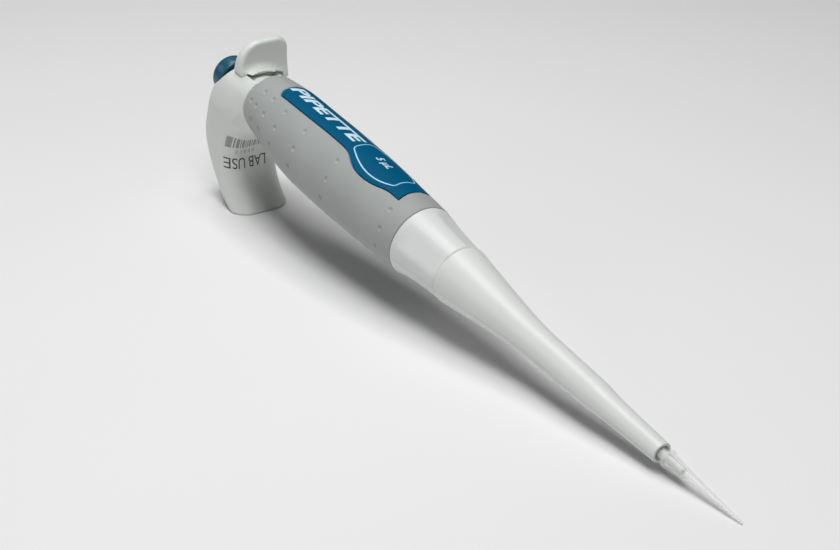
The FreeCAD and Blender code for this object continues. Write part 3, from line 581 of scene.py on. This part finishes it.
def window_outline():
    """The closed light line round the volume, unrolled: (height, across)."""
    side = curve_points([(194.9, 4.3), (192.4, 5.3), (189.6, 6.25), (184.8, 7.35), (180.0, 7.55),
                         (175.8, 6.9), (172.6, 5.7), (170.6, 4.55)], 60)
    corner_top = [(195.5, 3.6), (195.75, 2.6)]
    corner_low = [(170.15, 4.0), (170.1, 3.2)]
    half = np.concatenate([side, corner_low, [(170.35, 1.5), (170.4, 0.0)]])
    other = half[::-1] * (1, -1)
    loop = np.concatenate([[(195.8, 0.0)], corner_top[::-1], half, other[1:], [
        (195.5, -3.6), (195.75, -2.6)]])
    steps = [here + (following - here) * t
             for here, following in zip(loop, np.roll(loop, -1, axis=0))
             for t in np.linspace(0, 1, max(2, int(np.hypot(*(following - here)) / 0.3)),
                                  endpoint=False)]
    return np.array(steps)


def volume_outline():
    loop = window_outline()
    step = np.roll(loop, -1, axis=0) - np.roll(loop, 1, axis=0)
    step /= np.linalg.norm(step, axis=1)[:, None]
    side = np.stack([step[:, 1], -step[:, 0]], axis=1)
    grids = []
    for lift in (LABEL_STANDS + 0.07, LABEL_STANDS - 0.2):
        rows = []
        for offset in (-0.24, 0.24):
            height, across = (loop + side * offset).T
            rows.append(on_grip(height, across / grip_shape(height)[0], lift))
        grids.append(np.stack(rows, axis=1))
    line = slab("volume_outline", *grids, wrap=True)
    return finish_piece(line, OUTLINE_INK, "handle", "label_blue")


def lettering(name, words, width, height, place, material, slot, thick=0.0, slant=0.0,
              cell=0.5, depth=0.2):
    """Flat generic words as a thin relief; place turns (across, up) points into upright ones."""
    text = bpy.data.curves.new(name, "FONT")
    text.body = words
    text.offset = thick
    text.shear = slant
    text.resolution_u = 6
    holder = bpy.data.objects.new(name + "_text", text)
    bpy.context.collection.objects.link(holder)
    graph = bpy.context.evaluated_depsgraph_get()
    mesh = bpy.data.meshes.new_from_object(holder.evaluated_get(graph))
    bpy.data.objects.remove(holder)
    bm = bmesh.new()
    bm.from_mesh(mesh)
    bmesh.ops.remove_doubles(bm, verts=bm.verts, dist=1e-5)
    low = [min(v.co[k] for v in bm.verts) for k in (0, 1)]
    high = [max(v.co[k] for v in bm.verts) for k in (0, 1)]
    for v in bm.verts:
        v.co.x = ((v.co.x - low[0]) / (high[0] - low[0]) - 0.5) * width
        v.co.y = ((v.co.y - low[1]) / (high[1] - low[1]) - 0.5) * height
        v.co.z = 0.0
    for axis, size in ((0, width), (1, height)):
        for cut in np.arange(-size / 2 + cell, size / 2, cell):
            at, normal = Vector(), Vector()
            at[axis], normal[axis] = cut, 1.0
            bmesh.ops.bisect_plane(bm, geom=bm.verts[:] + bm.edges[:] + bm.faces[:],
                                   plane_co=at, plane_no=normal, dist=1e-4)
    bmesh.ops.triangulate(bm, faces=bm.faces)
    made = bmesh.ops.extrude_face_region(bm, geom=bm.faces[:])
    under = [e for e in made["geom"] if isinstance(e, bmesh.types.BMVert)]
    for v in under:
        v.co.z = -1.0
    bm.verts.ensure_lookup_table()
    flat = np.array([v.co[:] for v in bm.verts])
    points = place(flat[:, 0], flat[:, 1], np.where(flat[:, 2] < -0.5, -depth, 0.0))
    faces = [[v.index for v in face.verts] for face in bm.faces]
    bm.free()
    bpy.data.meshes.remove(mesh)
    letters = new_piece(name, points, faces, 30.0, weld=0.0005)
    return finish_piece(letters, material, "handle", slot)


def on_label(centre, offset):
    """Places words along the axis, read from the head to the tip."""

    def place(along, up, lift):
        height = centre - along
        across = up + offset
        return on_grip(height, across / grip_shape(height)[0], LABEL_STANDS + 0.05 + lift)

    return place


# ------------------------------------------------------------------ head and finger hook
HEAD_SHIFT = 1.5
WINDOW_TOP = 264.7
ROD_BORE, HEAD_BORE = 5.95, 8.4
HOOK_HALF_WIDTH = 11.7
HOOK_BACK = [(-2.0, 274.5), (-7.0, 279.0), (-12.5, 281.4), (-18.5, 282.2), (-25.0, 280.9),
             (-31.5, 277.3), (-37.5, 272.6), (-42.5, 267.5), (-46.5, 261.5), (-49.5, 255.0)]
HOOK_INNER = [(-50.0, 240.8), (-44.2, 249.5), (-39.0, 255.4), (-32.7, 260.0), (-24.5, 262.0),
              (-16.5, 260.6), (-8.0, 254.0)]
BACK_LINE = curve_points(HOOK_BACK, 60)
INNER_LINE = curve_points(HOOK_INNER, 60)
HOOK_OUTLINE = np.concatenate([BACK_LINE, INNER_LINE, [(-2.0, 256.0)]])
BACK_OUTLINE = np.concatenate([BACK_LINE, [(-60.0, 200.0), (20.0, 200.0)]])
TABLE_BOX = (-60, 225), (25, 295)
HOOK_TABLE = Table(lambda a, b: outline_distance(HOOK_OUTLINE, a, b), *TABLE_BOX, 0.25)
BACK_TABLE = Table(lambda a, b: np.abs(outline_distance(BACK_OUTLINE, a, b)), *TABLE_BOX, 0.5)


def above_bench(x, z):
    return TIP_Z + z * LIE_SIN + x * LIE_COS


def label_side(x, y):
    """Points turned so that the label's and ejector's middle lies along +X."""
    return x * LABEL_COS + y * LABEL_SIN, y * LABEL_COS - x * LABEL_SIN


def sector(x, y, half_angle):
    """Distance to a wedge round +X, negative inside."""
    return np.abs(y) * math.cos(half_angle) - x * math.sin(half_angle)


def hook_field(x, y, z):
    flat = HOOK_TABLE(x, z)
    back = smoothstep(2.0, 12.0, BACK_TABLE(x, z))
    edge = 4.8 + (2.4 + 2.2 * smoothstep(28.0, 44.0, -x)) * back
    beside = np.abs(y) - (HOOK_HALF_WIDTH - edge)
    over = flat + edge
    outside = np.hypot(np.maximum(over, 0), np.maximum(beside, 0))
    return outside + np.minimum(np.maximum(over, beside), 0) - edge


def head_outside(x, y, z):
    """The moulding's outer skin, before the bores and the window are cut."""
    forward = HEAD_SHIFT * (1 - smoothstep(253.0, 267.0, z))
    radius = spline([244.0, 252.0, 262.0, 270.0, 275.5], [11.2, 11.25, 11.2, 10.9, 10.3],
                    np.clip(z, 244.0, 275.5))
    barrel = np.hypot(x - forward * LABEL_COS, y - forward * LABEL_SIN) - radius
    rim = z - (HEAD_TOP + 0.2 - 0.62 * np.maximum(x - 1.0, 0.0))
    head = smooth_max(barrel, rim, 1.3)
    body = smooth_min(head, hook_field(x, y, z), 7.5)
    body = smooth_max(body, -above_bench(x, z), 1.0)
    seam = (seam_height(x) + 0.25 - z) * 0.8
    return smooth_max(body, seam, 0.5)


def head_field(x, y, z):
    out = np.hypot(x, y)
    neck = smooth_max(out - 8.25, 236.2 - z, 0.4)
    body = np.minimum(head_outside(x, y, z), np.maximum(neck, z - 264.0))
    body = np.where(z < HEAD_FLOOR, smooth_max(body, ROD_BORE - out, 0.3), body)
    cavity = np.maximum(out - HEAD_BORE, HEAD_FLOOR - z)
    body = smooth_max(body, -cavity, 0.9)
    front, side = label_side(x, y)
    wedge = sector(front, side, WINDOW_HALF)
    window = np.maximum.reduce([wedge, z - WINDOW_TOP, HEAD_BORE - 0.1 - out])
    channel = np.maximum.reduce([np.abs(side) - 1.9, z - WINDOW_TOP, 5.4 - front, front - 9.5])
    return smooth_max(body, -np.minimum(window, channel), 0.4)


def head_and_hook():
    points, faces = field_mesh(head_field, (-48.5, -13.2, 235.0), (14.0, 13.2, 284.5), 0.42)
    piece = new_piece("head_and_hook", points, faces, 60.0)
    return finish_piece(piece, MATERIALS["shell_white"], "handle", "shell_white", "head_shell")


def on_hook(x, y, lift):
    """Points on the hook's inner face, found by closing in on it from the grip's side."""
    low = np.full(x.shape, 244.0)
    for level in np.arange(244.0, 272.0, 0.5):
        outside = hook_field(x, y, np.full(x.shape, level)) > 0
        low = np.where(outside & (low >= level - 0.6), level, low)
    high = low + 0.6
    for _ in range(12):
        middle = (low + high) / 2
        outside = hook_field(x, y, middle) > 0
        low, high = np.where(outside, middle, low), np.where(outside, high, middle)
    return np.stack([x, y, high - lift], axis=-1)


BARS_START, BARS_GAP, BARS_ALONG = -10.9, 0.42, (-14.6, -20.0)


def hook_bars():
    """Plain generic bars printed on the hook's inner face."""
    widths = (1.5, 0.5, 1.1, 0.35, 0.8, 0.3, 0.4, 0.7, 0.35, 0.9, 0.3, 0.55, 0.35, 0.8, 0.3, 0.5)
    points, faces, across = [], [], BARS_START
    for width in widths:
        xs, ys = np.meshgrid(np.linspace(*BARS_ALONG, 12), np.linspace(across, across + width, 4),
                             indexing="ij")
        across += width + BARS_GAP
        for lift in (0.04, -0.15):
            points.append(on_hook(xs.ravel(), ys.ravel(), lift))
        top = grid_faces(12, 4, wrap_columns=False)
        base = sum(len(p) for p in points[:-2])
        ids = np.arange(48).reshape(12, 4)
        faces += [tuple(f + base) for f in top] + [tuple(f[::-1] + base + 48) for f in top]
        for rim in (ids[:, 0], ids[::-1, -1], ids[-1, :], ids[0, ::-1]):
            faces += [(a + base, b + base, b + base + 48, a + base + 48)
                      for a, b in zip(rim[:-1], rim[1:])]
    bars = new_piece("hook_bars", np.concatenate(points), faces)
    return finish_piece(bars, GREY_INK, "handle", "shell_white")


def on_hook_text(centre_x, centre_y):
    def place(along, up, lift):
        return on_hook(centre_x - up, centre_y - along, 0.04 + lift)

    return place


# ------------------------------------------------------------------ button and ejector
def button():
    top, low = BUTTON_TOP, BUTTON_TOP - 6.5
    stem = span("plunger_button")[0]
    outline = rounded([
        (0.0, top - 3.5), (1.75, top - 3.5), (1.75, stem, 0.2), (3.2, stem, 0.5),
        (3.2, low, 0.8), (7.1, low, 0.6), (7.6, low + 1.1, 1.2), (7.6, top - 1.3, 1.4),
        (6.9, top, 1.0), (6.05, top, 0.25), (6.0, top - 0.9, 0.2), (0.0, top - 0.9),
    ], steps=7)
    piece = lathe("press_button", outline)
    finish_piece(piece, MATERIALS["button_blue"], "plunger", "button_blue", "plunger_button")
    disc = rounded([
        (0.0, top - 0.88), (5.95, top - 0.88, 0.1), (5.95, top - 0.15, 0.3), (4.8, top - 0.32, 1.0),
        (0.0, top - 0.55),
    ], steps=5)
    cap = lathe("button_disc", disc)
    finish_piece(cap, MATERIALS["insert_blue"], "plunger", "insert_blue", "button_insert")


PADDLE_LOW = 261.7
PADDLE_TURN = math.radians(2.0)
PADDLE_ASIDE, PADDLE_HALF = 2.6, 9.9
PADDLE_ROOT, PADDLE_TOP = 9.0, 21.3


def plate_side(x, y):
    """Points in the thumb plate's own frame: how far forward, and how far to its right side."""
    cosine, sine = math.cos(PADDLE_TURN), math.sin(PADDLE_TURN)
    return x * cosine + y * sine, y * cosine - x * sine - PADDLE_ASIDE


def paddle_field(x, y, z):
    front, side = plate_side(x, y)
    out = np.hypot(x, y)
    run = np.clip((PADDLE_TOP - front) / (PADDLE_TOP - PADDLE_ROOT), 0, 1.3)
    hollow = (1 - np.clip(side / PADDLE_HALF, -1, 1) ** 2) * run * (1.1 - run)
    lower = PADDLE_LOW + 2.2 * (1 - run ** 2) + 0.9 * hollow
    upper = PADDLE_LOW + 6.0 + 1.2 * run ** 2
    corner = np.where(side < 0, 8.2, 4.8)
    beside = np.abs(side) - (PADDLE_HALF - corner)
    beyond = front - 0.05 * side - (PADDLE_TOP - corner)
    outline = (np.hypot(np.maximum(beside, 0), np.maximum(beyond, 0))
               + np.minimum(np.maximum(beside, beyond), 0) - corner)
    outline = smooth_max(outline, 11.3 - out, 0.4)
    root = PADDLE_ROOT - 2.6 * smoothstep(0.0, 9.0, side)
    outline = smooth_max(outline, root - front, 1.0)
    faces = smooth_max(z - upper, lower - z, 0.4)
    edge = 1.35
    plate = (np.hypot(np.maximum(outline + edge, 0), np.maximum(faces + edge, 0))
             + np.minimum(np.maximum(outline, faces) + edge, 0) - edge)
    front, side = label_side(x, y)
    wedge = sector(front, side, TONGUE_HALF)
    tongue = np.maximum.reduce([wedge, 8.4 - out, out - 9.6, 252.0 - z, z - PADDLE_LOW - 0.5])
    bridge = np.maximum.reduce([wedge, 8.4 - out, out - 11.9, PADDLE_LOW - 2.2 - z,
                                z - PADDLE_LOW - 2.4])
    arm = np.maximum.reduce([np.abs(side) - 1.6, 6.05 - front, front - 9.2, 252.0 - z, z - 255.2])
    slot = np.maximum.reduce([np.abs(side) - 1.7, 6.72 - front, front - 7.98, z - 255.05])
    carried = smooth_min(plate, smooth_min(bridge, tongue, 1.6), 3.2)
    undercut = np.maximum.reduce([x - 10.85 + 0.035 * np.maximum(y - 1.5, 0) ** 2, 9.7 - out,
                                  z - 263.0, np.abs(y - 2.5) - 7.5])
    carried = smooth_max(carried, -undercut, 0.4)
    return np.maximum(np.minimum(carried, arm), -slot)


def ejector_plate():
    points, faces = field_mesh(paddle_field, (2.5, -11.5, 251.0), (23.5, 15.5, 273.5), 0.33)
    piece = new_piece("thumb_plate", points, faces, 60.0)
    return finish_piece(piece, MATERIALS["paddle_white"], "ejector", "paddle_white",
                        "ejector_paddle")


# ------------------------------------------------------------------ collar and sleeve
SEAM_TURN = math.radians(-101.0)
SEAM_DEPTH, SEAM_WIDTH = 0.13, 0.2


def faceted(piece, low, high, depth):
    """Four soft flats round a turned piece between two heights, and its two mould lines."""
    mesh, laid_down = piece.data, np.array(UPRIGHT)
    points = upright_points(mesh)
    x, y, z = points.T
    reach, turn = np.hypot(x, y), np.arctan2(y, x)
    outside = smoothstep(-0.8, -0.4, reach - collar_radius(z))
    off = (turn - SEAM_TURN + math.pi / 4) % (math.pi / 2) - math.pi / 4
    ridge = np.cos(math.pi / 4 - np.abs(off))
    flat = smooth_min(reach, (reach - depth) / np.maximum(ridge, 0.8), 0.5)
    share = smoothstep(low, low + 6.0, z) * (1 - smoothstep(high - 6.0, high, z)) * outside
    line = (turn - SEAM_TURN + math.pi / 2) % math.pi - math.pi / 2
    groove = SEAM_DEPTH * np.exp(-(line * reach / SEAM_WIDTH) ** 2) * outside
    wanted = reach + (flat - reach) * share - groove
    points[:, :2] *= (wanted / reach)[:, None]
    points = points @ laid_down[:3, :3].T + laid_down[:3, 3]
    mesh.vertices.foreach_set("co", points.ravel())
    mesh.update()


def collar_radius(z):
    return np.interp(z, (41.0, 56.5, 62.3, 80.0, 91.0, 109.0, 119.7, 133.0, 144.4, 154.9),
                     (3.6, 4.24, 4.85, 5.24, 5.5, 7.25, 8.65, 10.4, 11.3, 12.8))


def front_collar():
    low, top = span("front_collar")[0], GRIP_LOW - 0.1
    outer = curve_points([(12.78, top), (11.3, 144.4), (10.45, low)], 40)[::-1]
    outline = rounded(
        [(10.0, low, 0.25), (*outer[1], 0.3)] + [tuple(p) for p in outer[2:-1]]
        + [(12.75, top - 0.25, 0.2), (12.45, top, 0.2), (9.7, top, 0.2), (9.7, 160.8, 0.3),
           (8.5, 160.8, 0.3), (8.5, 148.4), (9.0, 144.4), (9.0, low)], steps=5)
    piece = lathe("collar_ring", outline, 480)
    faceted(piece, low - 3.0, top + 1.0, 0.75)
    return finish_piece(piece, MATERIALS["collar_white"], "handle", "collar_white",
                        "front_collar")


def long_sleeve():
    end, top = SLEEVE_END, COLLAR_LOW
    nose = curve_points([(3.38, end + 0.4), (3.7, 43.7), (4.24, 56.5)], 24)
    barrel = curve_points([(4.85, 62.3), (5.24, 80.0), (5.5, 91.0), (7.25, 109.0), (8.65, 119.7),
                           (10.4, top - 0.5)], 90)
    step = curve_points([(4.24, 56.5), (4.36, 58.0), (4.66, 60.8), (4.85, 62.3)], 10)[1:-1]
    outer = [tuple(p) for p in np.concatenate([nose, step, barrel])]
    outline = rounded(
        [(2.47, end, 0.15), (3.3, end, 0.3)] + outer
        + [(10.3, top - 0.05, 0.15), (8.93, top, 0.1), (8.93, top + 8.0, 0.3),
           (8.2, top + 8.0, 0.2), (8.2, 133.2), (8.48, 133.2), (8.48, 128.9), (8.45, 127.0),
           (7.6, 119.7), (6.2, 109.0), (4.5, 91.0), (4.24, 80.0), (3.65, 61.0), (2.86, 57.4),
           (2.86, end + 1.0), (2.47, end + 1.0, 0.1)], steps=5)
    piece = lathe("long_sleeve", outline, 480)
    faceted(piece, 0.0, 1.0, 0.0)
    return finish_piece(piece, MATERIALS["sleeve_white"], "ejector", "sleeve_white",
                        "ejector_sleeve")


# ------------------------------------------------------------------ springs
WIRE_SIDES = 12


def coil_spring(node, name, body, turns):
    """A spring in the place of its CAD solid."""
    x, y, z = upright_points(frame["nodes"][node].data).T
    outer, inner = np.hypot(x, y).max(), np.hypot(x, y).min()
    wire, middle = (outer - inner) / 2, (outer + inner) / 2
    low, high = z.min(), z.max()
    turn = np.linspace(0, turns, turns * 40 + 1)
    rise = np.interp(turn, (0, 1, turns - 1, turns),
                     (low + wire, low + 3.1 * wire, high - 3.1 * wire, high - wire))
    around = np.linspace(0, 2 * math.pi, WIRE_SIDES, endpoint=False)
    reach = middle + wire * np.cos(around)[None, :]
    angle = 2 * math.pi * turn[:, None]
    wound = np.stack([reach * np.cos(angle), reach * np.sin(angle),
                      rise[:, None] + wire * np.sin(around)[None, :]], axis=-1)
    faces = [tuple(face) for face in grid_faces(len(turn), WIRE_SIDES)]
    last = (len(turn) - 1) * WIRE_SIDES
    faces += [tuple(range(WIRE_SIDES - 1, -1, -1)), tuple(range(last, last + WIRE_SIDES))]
    piece = new_piece(name, wound.reshape(-1, 3), faces, 50.0)
    finish_piece(piece, MATERIALS["spring_steel"], body, "spring_steel", node)
    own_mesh(piece)


# ------------------------------------------------------------------ tip
RIBS, RIB_HEIGHT = 8, 0.595


def fitted_tip():
    columns = 240
    turn = np.linspace(0, 2 * math.pi, columns, endpoint=False)
    ribs = smoothstep(0.55, 0.95, np.cos(RIBS * turn))
    outer = rounded([
        (0.22, 0.0), (0.42, 0.0, 0.08), (1.2, 14.2, 1.0), (2.0, 25.8, 0.8), (2.2, 29.6, 0.5),
        (2.95, 30.2, 0.15), (2.95, 31.0, 0.15), (2.2, 31.05, 0.2), (2.2, TIP_TOP - 0.9, 0.2),
        (2.38, TIP_TOP - 0.6, 0.15), (2.38, TIP_TOP, 0.12), (1.62, TIP_TOP, 0.1),
        (1.32, 24.4, 0.1), (1.18, 23.9), (0.8, 14.2, 1.0),
    ], steps=5)
    dense = []
    for here, following in zip(outer, np.roll(outer, -1, axis=0)):
        count = max(1, int(np.linalg.norm(following - here) / 0.5))
        dense += [here + (following - here) * k / count for k in range(count)]
    radius, height = np.array(dense).T
    outside = radius > np.interp(height, (0, 14.2, 25.8, 36), (0.3, 1.0, 1.7, 1.9))
    taper = np.clip((height - 25.2) / (30.4 - 25.2), 0, 1) * (height < 30.4) * outside
    reach = radius[:, None] + RIB_HEIGHT * taper[:, None] * ribs
    reach = np.minimum(reach, np.maximum(radius[:, None], 2.9))
    points = np.stack([reach * np.cos(turn), reach * np.sin(turn),
                       np.broadcast_to(height[:, None], reach.shape)], axis=-1)
    piece = new_piece("fitted_tip", points, grid_faces(len(height), columns, wrap_rows=True), 50.0)
    return finish_piece(piece, MATERIALS["tip_clear"], "tip", "tip_clear", "pipette_tip")


# ------------------------------------------------------------------ stage, light and camera
def floor():
    material, tree, shader = nodes_of("paper_floor")
    tone = remap(tree, grain(tree, 0.004), 0.0, 1.0)
    tree.links.new(mixed_colour(tree, tone, (0.80, 0.80, 0.80), (0.82, 0.82, 0.82)),
                   shader.inputs["Base Color"])
    shader.inputs["Roughness"].default_value = 0.75
    shader.inputs["Specular IOR Level"].default_value = 0.25
    mesh = bpy.data.meshes.new("floor")
    side = 6.0
    mesh.from_pydata([(-side, -side, 0), (side, -side, 0), (side, side, 0), (-side, side, 0)],
                     [], [(0, 1, 2, 3)])
    mesh.materials.append(material)
    plane = bpy.data.objects.new("floor", mesh)
    bpy.context.collection.objects.link(plane)


def soft_box(name, lift, sideways, power, size=0.3):
    """A soft box a metre away: lift turns it up from the tip's end and over the pipette."""
    lift, sideways = math.radians(lift), math.radians(sideways)
    place = Vector((math.cos(lift) * math.cos(sideways), math.sin(sideways),
                    math.sin(lift) * math.cos(sideways)))
    lamp = bpy.data.lights.new(name, "AREA")
    lamp.shape = "RECTANGLE"
    lamp.size = lamp.size_y = size
    lamp.energy = power
    holder = bpy.data.objects.new(name, lamp)
    holder.location = place
    holder.rotation_euler = (-place).to_track_quat("-Z", "Y").to_euler()
    bpy.context.collection.objects.link(holder)


def lights():
    soft_box("overhead_near", 90, -10, 4.15)
    soft_box("overhead_far", 90, 8, 1.70)
    soft_box("over_tip", 62, -11, 2.35)
    soft_box("over_hook", 118, 5, 1.95)
    soft_box("behind_hook", 145, -32, 0.42)
    soft_box("low_near", 120, -62, 0.8, size=0.5)
    world = bpy.data.worlds.new("studio")
    world.use_nodes = True
    background = world.node_tree.nodes["Background"]
    background.inputs["Color"].default_value = (0.97, 0.985, 1.0, 1.0)
    background.inputs["Strength"].default_value = 0.02
    bpy.context.scene.world = world


def camera():
    """Three-quarter view from the tip's side, a little above the pipette."""
    azimuth, elevation = math.radians(55.253), math.radians(26.023)
    distance = 0.5965
    target = Vector((TIP_X - 153.61, 0.0, 14.03)) * MM
    back = Vector((math.sin(azimuth) * math.cos(elevation),
                   -math.cos(azimuth) * math.cos(elevation), math.sin(elevation)))
    lens = bpy.data.cameras.new("camera")
    lens.sensor_width = 36.0
    lens.lens = 77.14
    lens.clip_start = 0.01
    holder = bpy.data.objects.new("camera", lens)
    holder.location = target + back * distance
    holder.rotation_euler = back.to_track_quat("Z", "Y").to_euler()
    bpy.context.collection.objects.link(holder)
    bpy.context.scene.camera = holder
    bpy.context.scene.view_settings.view_transform = "Standard"


def carried_nodes():
    """CAD nodes that stay as they are get their slot's material."""
    slots = {part["node"]: part["material_slot"] for part in frame["record"]["subparts"]}
    for name, node in frame["nodes"].items():
        node.data.materials.clear()
        node.data.materials.append(MATERIALS[slots[name]])


camera()
lights()
floor()
carried_nodes()
soft_grip()
label_plate()
volume_outline()
lettering("label_word", "PIPETTE", 43.0, 4.9, on_label(218.8, 0.1), LETTERING, "label_blue",
          thick=0.036, slant=0.2)
lettering("volume_mark", "5 µL", 7.6, 3.6, on_label(183.2, 0.2), LETTERING, "label_blue",
          thick=0.022, slant=0.25)
head_and_hook()
hook_bars()
lettering("hook_mark", "LAB USE", 15.6, 4.4, on_hook_text(-26.8, -3.2), DARK_INK, "shell_white")
lettering("hook_digits", "0 5 0 1 2", 7.4, 1.5, on_hook_text(-21.9, -4.2), GREY_INK,
          "shell_white")
button()
ejector_plate()
front_collar()
long_sleeve()
coil_spring("piston_spring", "piston_coil", "handle", 9)
coil_spring("blowout_spring", "blowout_coil", "handle", 7)
coil_spring("primary_spring", "primary_coil", "plunger", 12)
coil_spring("ejector_spring", "ejector_coil", "handle", 7)
fitted_tip()
